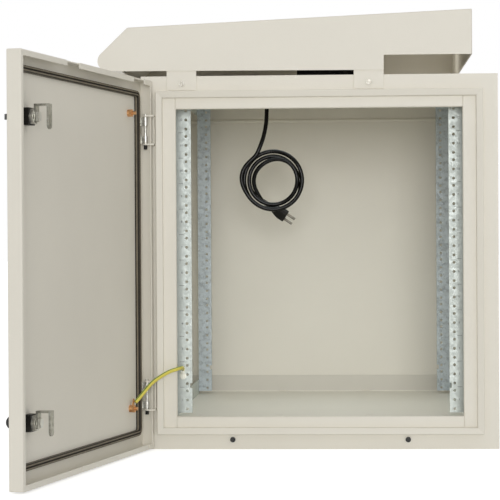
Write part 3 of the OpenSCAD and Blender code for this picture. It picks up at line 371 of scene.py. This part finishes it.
# The floor tray's finish, with painted shade on its upstand above the floor
SHADED_TRAY_PAINT = powder_paint("tray_coat_with_shade", GREY, TRAY_FLOOR)
RAIL_ZINC_WITH_HIGHLIGHT = rail_sheet("rail_zinc_painted_highlight", srgb(198, 205, 201), srgb(196, 206, 212))
INK = rail_ink("rail_ink", srgb(70, 72, 72))
HOOK_STEEL = plated("hook_steel", srgb(188, 187, 178), 0.3, srgb(134, 131, 120))
SPINDLE = latch_finish("latch_spindle", srgb(28, 27, 24), srgb(226, 225, 218))
# Nodes whose finish isn't that of their slot alone
OWN_FINISHES = {"floor_tray": SHADED_TRAY_PAINT, "earth_lug_rail": DULL_TIN, "earth_screw_rail": DULL_TIN}
for level in ("upper", "lower"):
    OWN_FINISHES["latch_spindle_" + level] = SPINDLE
    OWN_FINISHES["latch_cam_" + level] = HOOK_STEEL
for corner in ("front_left", "front_right", "rear_left", "rear_right"):
    OWN_FINISHES["rail_" + corner] = RAIL_ZINC_WITH_HIGHLIGHT


def dress_nodes():
    """Each solid of the frame takes its own finish, or that of its material slot."""
    for node, slot in SLOT_OF.items():
        data = nodes[node].data
        data.materials.clear()
        data.materials.append(OWN_FINISHES.get(node, FINISHES[slot]))


dress_nodes()


# Making pieces

# A curve's bevel steps, and the points that they put round the tube
TUBE_STEPS = 5
TUBE_SIDES = 4 + 2 * TUBE_STEPS


def add_piece(name, mesh, body, slot, material=None):
    """A finished mesh as a piece that rides on a body, with its own finish or that of its slot."""
    piece = bpy.data.objects.new(name, mesh)
    scene.collection.objects.link(piece)
    piece.data.materials.append(material or FINISHES[slot])
    if body:
        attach(piece, body)
    return piece


def mesh_from(name, shape, smooth=False):
    """A finished bmesh as a mesh, with its normals outwards."""
    bmesh.ops.recalc_face_normals(shape, faces=shape.faces)
    mesh = bpy.data.meshes.new(name)
    shape.to_mesh(mesh)
    shape.free()
    if smooth:
        mesh.shade_smooth()
    return mesh


def soften(shape, edges, radius, segments, clamp=False):
    """Rounds the edges and gives the new faces."""
    return bmesh.ops.bevel(shape, geom=edges, offset=radius, segments=segments, profile=0.5, affect="EDGES",
                           material=-1, clamp_overlap=clamp)["faces"]


def add_box(shape, size, middle):
    """A box of this size round its middle, both in millimetres."""
    made = bmesh.ops.create_cube(shape, size=1)["verts"]
    bmesh.ops.scale(shape, vec=Vector(size) * MM, verts=made)
    bmesh.ops.translate(shape, vec=Vector(middle) * MM, verts=made)


def as_mesh(data):
    """A curve or a text as a mesh."""
    holder = bpy.data.objects.new("holder", data)
    scene.collection.objects.link(holder)
    bpy.context.view_layer.update()
    mesh = bpy.data.meshes.new_from_object(holder.evaluated_get(bpy.context.evaluated_depsgraph_get()))
    bpy.data.objects.remove(holder)
    return mesh


def tube_curve(name, points, diameter):
    """One open spline through the points, as thick as the cord."""
    curve = bpy.data.curves.new(name, "CURVE")
    curve.dimensions = "3D"
    curve.bevel_depth = diameter / 2
    curve.bevel_resolution = TUBE_STEPS
    curve.use_fill_caps = True
    spline = curve.splines.new("POLY")
    spline.points.add(len(points) - 1)
    for knot, point in zip(spline.points, points):
        knot.co = (*point, 1)
    spline.use_smooth = True
    return curve


def smooth_route(stops, steps):
    """A Catmull-Rom line through the stops."""
    ends = [2 * stops[0] - stops[1], *stops, 2 * stops[-1] - stops[-2]]
    line = []
    for before, start, stop, after in zip(ends, ends[1:], ends[2:], ends[3:]):
        for i in range(steps):
            t = i / steps
            square = 2 * before - 5 * start + 4 * stop - after
            cube = 3 * start - before - 3 * stop + after
            line.append(0.5 * (2 * start + (stop - before) * t + square * t ** 2 + cube * t ** 3))
    return line + [stops[-1]]


def length_of(points):
    """The length of the line through the points."""
    return sum((b - a).length for a, b in zip(points, points[1:]))


# Folded sheet

FOLDED = ("body_shell", "front_ring", "frame_post_left", "frame_post_right", "frame_header", "frame_sill",
          "hood", "hood_bracket_left", "hood_bracket_right", "door_panel", "floor_tray", "ceiling_tray")
FOLD_RADIUS = 1.8 * MM
FOLD_LENGTH = 8 * MM
FOLD_WIDTH = 4 * MM
FOLD_ANGLE = math.radians(35)
MERGE_GAP = 0.01 * MM
CUT_RADIUS = 0.3 * MM
CUT_ANGLE = math.radians(60)


def is_fold(edge):
    """A long outward edge between two wide faces, as a bent sheet has; a cut edge has one narrow face."""
    if len(edge.link_faces) != 2 or not edge.is_convex or edge.calc_length() < FOLD_LENGTH:
        return False
    narrow = min(2 * face.calc_area() for face in edge.link_faces) / edge.calc_length()
    return narrow > FOLD_WIDTH and edge.calc_face_angle() > FOLD_ANGLE


def is_cut(edge):
    """A long outward corner that isn't a bend: a sheared or sawn edge."""
    long_enough = len(edge.link_faces) == 2 and edge.is_convex and edge.calc_length() > FOLD_LENGTH
    return long_enough and edge.calc_face_angle() > CUT_ANGLE


def round_folds(name):
    """A copy of a sheet's solid with rounded bends and dulled cut edges, in place of the sharp one."""
    shape = bmesh.new()
    shape.from_mesh(nodes[name].data)
    bmesh.ops.remove_doubles(shape, verts=shape.verts, dist=MERGE_GAP)
    for face in shape.faces:
        face.smooth = False
    folds = [edge for edge in shape.edges if is_fold(edge)]
    for face in soften(shape, folds, FOLD_RADIUS, 3):
        face.smooth = True
    cuts = [edge for edge in shape.edges if is_cut(edge)]
    soften(shape, cuts, CUT_RADIUS, 1, clamp=True)
    mesh = mesh_from("folded_" + name, shape)
    piece = add_piece(mesh.name, mesh, BODY_OF[name], SLOT_OF[name], OWN_FINISHES.get(name))
    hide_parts(name)


for sheet_node in FOLDED:
    round_folds(sheet_node)


# Power cord

CORD_D = 7.8 * MM
COIL_AT = Vector((-90, 0, 469.5)) * MM
CORD_EXIT = Vector((-101, 0, 634)) * MM
LEAD_STOPS = [CORD_EXIT] + [Vector(p) * MM for p in (
    (-101, 0, 618), (-101.2, 0, 598), (-102.2, 0, 578), (-104.6, -0.6, 563.6), (-108, -1.8, 549),
    (-112, -3, 537.5), (-117.3, -4, 524))]
LEAD_STEPS = 5
INNER, OUTER, FRONT, BACK = 45.6, 54.9, -4.2, 4.2
# Angle round the coil, radius and depth: four places for the turns, and the moves between them
COIL_STOPS = [(126, OUTER, -4.4), (170, 60.6, FRONT), (212, OUTER, FRONT), (390, OUTER, FRONT),
              (452, OUTER, BACK), (690, OUTER, BACK), (750, INNER, BACK), (1015, INNER, BACK),
              (1075, INNER, FRONT), (1108, INNER, FRONT), (1211, 35.6, -2), (1296, 37.8, 13.6),
              (1322.2, 43.5, 18)]
COIL_STEP = 4
EASE_ROUNDS = 10


def eased(share):
    """A share from 0 to 1 that starts and ends gently."""
    return share * share * (3 - 2 * share)


def on_coil(angle, radius, depth):
    """A point of the coil, which hangs upright and faces the front."""
    turn = math.radians(angle)
    return COIL_AT + Vector((radius * math.cos(turn), depth, radius * math.sin(turn))) * MM


def coil_line():
    """The cord's turns, which change places with each other on the way round."""
    line = []
    for start, stop in zip(COIL_STOPS, COIL_STOPS[1:]):
        steps = max(2, round((stop[0] - start[0]) / COIL_STEP))
        for i in range(steps):
            share = i / steps
            angle = start[0] + (stop[0] - start[0]) * share
            radius, depth = (a + (b - a) * eased(share) for a, b in zip(start[1:], stop[1:]))
            line.append(on_coil(angle, radius, depth))
    return line + [on_coil(*COIL_STOPS[-1])]


def relaxed(line):
    """The line with its tight places eased, as a stiff sheath eases them; its ends stay."""
    for _ in range(EASE_ROUNDS):
        inner = [(a + 2 * b + c) / 4 for a, b, c in zip(line, line[1:], line[2:])]
        line = [line[0], *inner, line[-1]]
    return line


# Plug, and the whole cord

PLUG_FROM = Vector((-110.3, 18, 431)) * MM
PLUG_DIP, PLUG_TWIST = math.radians(34), math.radians(35)
ROUND = 2
RIDGES, RIDGE_STEP, RIDGE_SIZE, RIDGE_GROWTH = 5, 2.8, 4.9, 0.08
# Place along the plug, half its width, half its thickness and how square its section is
PLUG_SECTIONS = [(0, 3.9, 3.9, ROUND)]
for ridge in range(RIDGES):
    crest = RIDGE_SIZE + RIDGE_GROWTH * ridge
    PLUG_SECTIONS += [(RIDGE_STEP * ridge + step, size, size, ROUND)
                      for step, size in ((0.4, 4.3), (0.8, crest), (2.0, crest), (2.4, 4.4))]
PLUG_SECTIONS += [
    (15.6, 5, 5, ROUND), (20, 5.9, 5.5, 2.2), (26, 7.8, 6.2, 2.8), (32, 9.7, 6.9, 3.4), (37, 10.8, 7.4, 4),
    (39, 11, 7.5, 4.4), (50.6, 11, 7.5, 4.4), (51.6, 10.6, 7.1, 4.4), (52, 9.8, 6.3, 4.4)]
PLUG_SIDES = 40
PRONG_GAP, PRONG_SIZE, PRONG_BEHIND, PRONG_EDGE = 12.7, (1.6, 6.3, 19), 2, 0.4
PLUG_FACE = PLUG_SECTIONS[-1][0]


def plug_frame():
    """From the plug's own axes, width, thickness and length, to its place behind the coil."""
    along = Vector((math.cos(PLUG_DIP), 0, -math.sin(PLUG_DIP)))
    across = Vector((math.sin(PLUG_DIP), 0, math.cos(PLUG_DIP)))
    turned = Matrix.Rotation(PLUG_TWIST, 3, along)
    axes = Matrix((turned @ across, turned @ along.cross(across), along)).transposed()
    return Matrix.Translation(PLUG_FROM) @ axes.to_4x4()


def section_ring(shape, section):
    """One section of the plug, from round to nearly square, as a loop of edges."""
    out, half_w, half_t, square = section
    ring = bmesh.ops.create_circle(shape, segments=PLUG_SIDES, radius=1)["verts"]
    for vertex in ring:
        wide, deep = (math.copysign(abs(v) ** (2 / square), v) for v in vertex.co.xy)
        vertex.co = Vector((half_w * wide, half_t * deep, out)) * MM
    return list(dict.fromkeys(edge for vertex in ring for edge in vertex.link_edges))


def make_moulding():
    """The plug's body with its ridged strain relief."""
    shape = bmesh.new()
    rings = [section_ring(shape, section) for section in PLUG_SECTIONS]
    for first, second in zip(rings, rings[1:]):
        bmesh.ops.bridge_loops(shape, edges=first + second)
    bmesh.ops.holes_fill(shape, edges=rings[0] + rings[-1])
    bmesh.ops.transform(shape, matrix=plug_frame(), verts=shape.verts)
    mesh = mesh_from("plug_moulding", shape, smooth=True)
    mesh.set_sharp_from_angle(angle=FOLD_ANGLE)
    moulding = add_piece("plug_moulding", mesh, "cabinet", "black_plastic")
    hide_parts("plug_body")
    return moulding


def make_prongs():
    """The plug's two flat prongs."""
    shape = bmesh.new()
    for side in (-1, 1):
        add_box(shape, PRONG_SIZE, (side * PRONG_GAP / 2, 0, PLUG_FACE - PRONG_BEHIND + PRONG_SIZE[2] / 2))
    soften(shape, shape.edges[:], PRONG_EDGE * MM, 2)
    bmesh.ops.transform(shape, matrix=plug_frame(), verts=shape.verts)
    prongs = add_piece("plug_prongs", mesh_from("plug_prongs", shape), "cabinet", "zinc_plate", BLADE_METAL)
    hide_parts("plug_blades")
    return prongs


def make_power_cord():
    """The cord from the ceiling to its plug, on one smooth line."""
    plug = [make_moulding(), make_prongs()]
    turns = coil_line()
    lead = smooth_route(LEAD_STOPS + turns[:1], LEAD_STEPS)
    route = relaxed(lead + turns[1:])
    cord = bpy.data.objects.new("power_cord", tube_curve("power_cord", route, CORD_D))
    scene.collection.objects.link(cord)
    cord.data.materials.append(FINISHES["black_rubber"])
    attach(cord, "cabinet")
    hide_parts("cord_lead", "cord_coil", "cord_tail")
    length_of(route)


make_power_cord()


# Earth wire

WIRE_D = 6.4 * MM
WIRE_STOPS = [Vector(p) * MM for p in (
    (-309.9, -372.3, 86.4), (-304, -368.5, 93), (-295, -360, 104.3), (-284.3, -348.5, 116.9),
    (-271.6, -338, 126.3), (-257, -328, 134.5), (-245, -319, 138.3), (-239.5, -306.5, 139.6),
    (-238.5, -290, 139.2), (-239.3, -268, 137), (-240, -250.2, 134))]
WIRE_STEPS = 6


def make_earth_wire():
    """A sleeve from the door's stud to the rail, in one fixed shape."""
    mesh = as_mesh(tube_curve("wire_line", smooth_route(WIRE_STOPS, WIRE_STEPS), WIRE_D))
    around = mesh.attributes.new("around", "FLOAT", "POINT")
    for vertex in mesh.vertices:
        around.data[vertex.index].value = (vertex.index % TUBE_SIDES) / TUBE_SIDES
    mesh.shade_smooth()
    wire = add_piece("earth_wire_sleeve", mesh, None, "earth_sleeve")
    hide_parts("earth_wire")
    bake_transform(wire)


make_earth_wire()


# Door seal, filter, wall seam and rail marks

SEAL_SIZE = (556 * MM, 586 * MM)
SEAL_CORNER, SEAL_CORNER_STEPS = 14 * MM, 8
SEAL_AT = Vector((0, SKIN_Y, 320)) * MM
# From one line of the seal's section to the next: inwards, upwards, and whether the strip between has
# painted shade
SEAL_SECTION = ((0.15, 4.6, 1), (0.45, 2.2, 1), (0.9, 1.1, 1), (1.1, 0.3, 0), (1.2, -0.5, 0),
                (0.7, -1.6, 1), (0.5, -0.6, 1), (0.5, 0.6, 1), (0.7, 1.6, 1), (1.2, 0.5, 0),
                (1.1, -0.3, 0), (0.9, -1.1, 1), (0.45, -2.2, 1), (0.1, -2.6, 0), (0.05, -2, 1))
FILTER_SIZE = (265, 452, 8)
FILTER_EDGE, FILTER_CUTS, FILTER_FILL = 2 * MM, 24, 0.5
LONG_EDGE = 100 * MM
# The fleece's uneven face: how deep it sinks, above which height, and its waves across and along
SINK, SINK_ABOVE, WAVE_X, WAVE_Y = 0.3 * MM, 3 * MM, 70, 55
SEAM_HEIGHT, SEAM_RADIUS, SEAM_SIDES = 598.5 * MM, 3.8 * MM, 24
rail_low, rail_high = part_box("rail_front_left")
UNIT = 44.45
UNITS = round((rail_high.z - rail_low.z) / MM / UNIT)
RAIL_FOOT = rail_low.z / MM
INK_GAP = 0.05
MARK_FACE = rail_low.y / MM - INK_GAP
FIGURE_X, FIGURE_HEIGHT, FIGURE_DEPTH = 240.8, 5.5 * MM, 0.03 * MM
LINE_X, LINE_SIZE = 241.6, (8, 0.06, 0.6)
UPRIGHT = Matrix.Rotation(QUARTER_TURN, 4, "X")


def make_seal():
    """Foam strip round the door's inside: two soft ridges with a groove between them, its steep faces and
    groove marked for painted shade.
    """
    shape = bmesh.new()
    bmesh.ops.create_grid(shape, x_segments=1, y_segments=1, size=0.5)
    bmesh.ops.scale(shape, vec=(*SEAL_SIZE, 1), verts=shape.verts)
    bmesh.ops.bevel(shape, geom=shape.verts[:], offset=SEAL_CORNER, segments=SEAL_CORNER_STEPS, profile=0.5,
                    affect="VERTICES", material=-1)
    seal_shade_mask = shape.faces.layers.float.new("seal_shade_mask")
    shape.faces.ensure_lookup_table()
    face = shape.faces[0]
    for inward, rise, dark in SEAL_SECTION:
        shape.normal_update()
        ring = bmesh.ops.inset_region(shape, faces=[face], thickness=inward * MM, depth=rise * MM,
                                      use_boundary=True, use_even_offset=True)["faces"]
        for side in ring:
            # Marks this strip of the section for painted shade
            side[seal_shade_mask] = dark
    bmesh.ops.delete(shape, geom=[face], context="FACES_ONLY")
    bmesh.ops.bridge_loops(shape, edges=[e for e in shape.edges if e.is_boundary])
    place = DOOR_OPEN @ Matrix.Translation(SEAL_AT) @ UPRIGHT.inverted()
    bmesh.ops.transform(shape, matrix=place, verts=shape.verts)
    seal = add_piece("foam_seal", mesh_from("foam_seal", shape, smooth=True), "door", "seal_foam")
    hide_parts("door_gasket")


def make_filter():
    """A flat fleece pad with soft edges and a slightly uneven face, in the middle of its solid's place."""
    low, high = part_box("air_filter")
    shape = bmesh.new()
    add_box(shape, FILTER_SIZE, (0, 0, 0))
    soften(shape, shape.edges[:], FILTER_EDGE, 3)
    long_edges = [e for e in shape.edges if e.calc_length() > LONG_EDGE]
    bmesh.ops.subdivide_edges(shape, edges=long_edges, cuts=FILTER_CUTS, use_grid_fill=True)
    for vertex in shape.verts:
        if vertex.co.z > SINK_ABOVE:
            vertex.co.z -= SINK * math.sin(vertex.co.x * WAVE_X) * math.sin(vertex.co.y * WAVE_Y + 1)
    bmesh.ops.translate(shape, vec=(low + high) / 2, verts=shape.verts)
    pad = add_piece("filter_pad", mesh_from("filter_pad", shape, smooth=True), "cabinet", "filter_fleece")
    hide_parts("air_filter")


def make_wall_seam():
    """A half-round sealed seam across the inside of the back wall, under the ceiling."""
    low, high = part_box("ceiling_tray")
    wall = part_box("back_panel")[0].y
    middle = Vector(((low.x + high.x) / 2, wall, SEAM_HEIGHT))
    shape = bmesh.new()
    bmesh.ops.create_cone(shape, cap_ends=True, segments=SEAM_SIDES, radius1=SEAM_RADIUS,
                          radius2=SEAM_RADIUS, depth=high.x - low.x,
                          matrix=Matrix.Rotation(QUARTER_TURN, 4, "Y"))
    bmesh.ops.translate(shape, vec=middle, verts=shape.verts)
    whole = shape.verts[:] + shape.edges[:] + shape.faces[:]
    cut = bmesh.ops.bisect_plane(shape, geom=whole, plane_co=middle, plane_no=(0, 1, 0), clear_outer=True)
    bmesh.ops.holes_fill(shape, edges=[e for e in cut["geom_cut"] if isinstance(e, bmesh.types.BMEdge)])
    mesh = mesh_from("wall_seam", shape, smooth=True)
    mesh.set_sharp_from_angle(angle=FOLD_ANGLE)
    add_piece("wall_seam", mesh, "cabinet", "grey_paint")


def figure_mesh(number):
    """A unit number in plain figures, a hair thick, standing upright and facing the front."""
    curve = bpy.data.curves.new("figure", "FONT")
    curve.body = str(number)
    curve.size = FIGURE_HEIGHT
    curve.align_x = "CENTER"
    curve.align_y = "CENTER"
    curve.extrude = FIGURE_DEPTH
    curve.resolution_u = 3
    mesh = as_mesh(curve)
    mesh.transform(UPRIGHT)
    return mesh


def make_rail_marks(name, side):
    """Unit numbers and the lines between units, printed on a front rail beside its holes."""
    shape = bmesh.new()
    for unit in range(UNITS):
        figure = figure_mesh(unit + 1)
        centre = Vector((side * FIGURE_X, MARK_FACE, RAIL_FOOT + UNIT * (unit + 0.5))) * MM
        figure.transform(Matrix.Translation(centre))
        shape.from_mesh(figure)
    for unit in range(1, UNITS):
        add_box(shape, LINE_SIZE, (side * LINE_X, MARK_FACE, RAIL_FOOT + UNIT * unit))
    add_piece(name, mesh_from(name, shape), "cabinet", "black_plastic", INK)


make_seal()
make_filter()
make_wall_seam()
make_rail_marks("rail_marks_left", -1)
make_rail_marks("rail_marks_right", 1)


# Floor, backdrop and light

WHITE, BLACK = (1, 1, 1, 1), (0, 0, 0, 1)
FLOOR_COLOUR, FLOOR_GLOW, FLOOR_HALF = (0.85, 0.85, 0.84, 1), 0.6, 30
WORLD_FILL = 0.59
# Name, place, aim, size, power, colour and spread of each lamp
LAMPS = (("front", (0.5, -12, 1.2), (0, -0.2, 0.35), 3.5, 382, (1, 1, 1), 180),
         ("inner_fill", (0, -0.05, 0.62), (0, -0.05, 0), 0.45, 0.55, (0.86, 0.95, 1), 110),
         ("hood_fill", (0.17, 0.12, 0.66), (0.17, 0.12, 1), 0.12, 0.075, (1, 1, 1), 180))


def straight_ray(s):
    """One where the camera sees a thing directly, in a reflection or through something clear."""
    seen, mirrored, through = (s.node("LightPath", None, None, "Is %s Ray" % kind)
                               for kind in ("Camera", "Glossy", "Transmission"))
    return s.math("MAXIMUM", s.math("MAXIMUM", seen, mirrored), through)


def make_floor():
    """A pale floor, white to the camera, which keeps the object's shadow."""
    shape = bmesh.new()
    bmesh.ops.create_grid(shape, x_segments=1, y_segments=1, size=FLOOR_HALF)
    floor = bpy.data.objects.new("floor", mesh_from("floor", shape))
    scene.collection.objects.link(floor)
    material, s, shader = new_finish("pale_floor")
    glow = s.mix(straight_ray(s), BLACK, tone(WHITE, FLOOR_GLOW))
    set_surface(s, shader, base_color=FLOOR_COLOUR, roughness=0.9, specular_ior_level=0.1,
                emission_color=glow, emission_strength=1)
    floor.data.materials.append(material)


def make_world():
    """A white backdrop for the camera, and an even fill light for the object."""
    world = bpy.data.worlds.new("studio")
    scene.world = world
    world.use_nodes = True
    s = Shade(world.node_tree)
    backdrop = world.node_tree.nodes["Background"].inputs
    s.feed(backdrop["Strength"], s.span(straight_ray(s), 0, 1, WORLD_FILL, 1.0))
    s.feed(backdrop["Color"], WHITE)


def softbox(name, at, aim, size, power, colour, spread):
    """A round lamp that the camera doesn't see."""
    data = bpy.data.lights.new(name, "AREA")
    data.shape = "DISK"
    data.size = size
    data.energy = power
    data.spread = math.radians(spread)
    data.color = colour
    lamp = bpy.data.objects.new(name, data)
    scene.collection.objects.link(lamp)
    lamp.location = at
    lamp.rotation_euler = (Vector(aim) - Vector(at)).to_track_quat("-Z", "Y").to_euler()
    lamp.visible_camera = False


scene.view_settings.view_transform = "Standard"
make_floor()
make_world()
for lamp in LAMPS:
    softbox(*lamp)
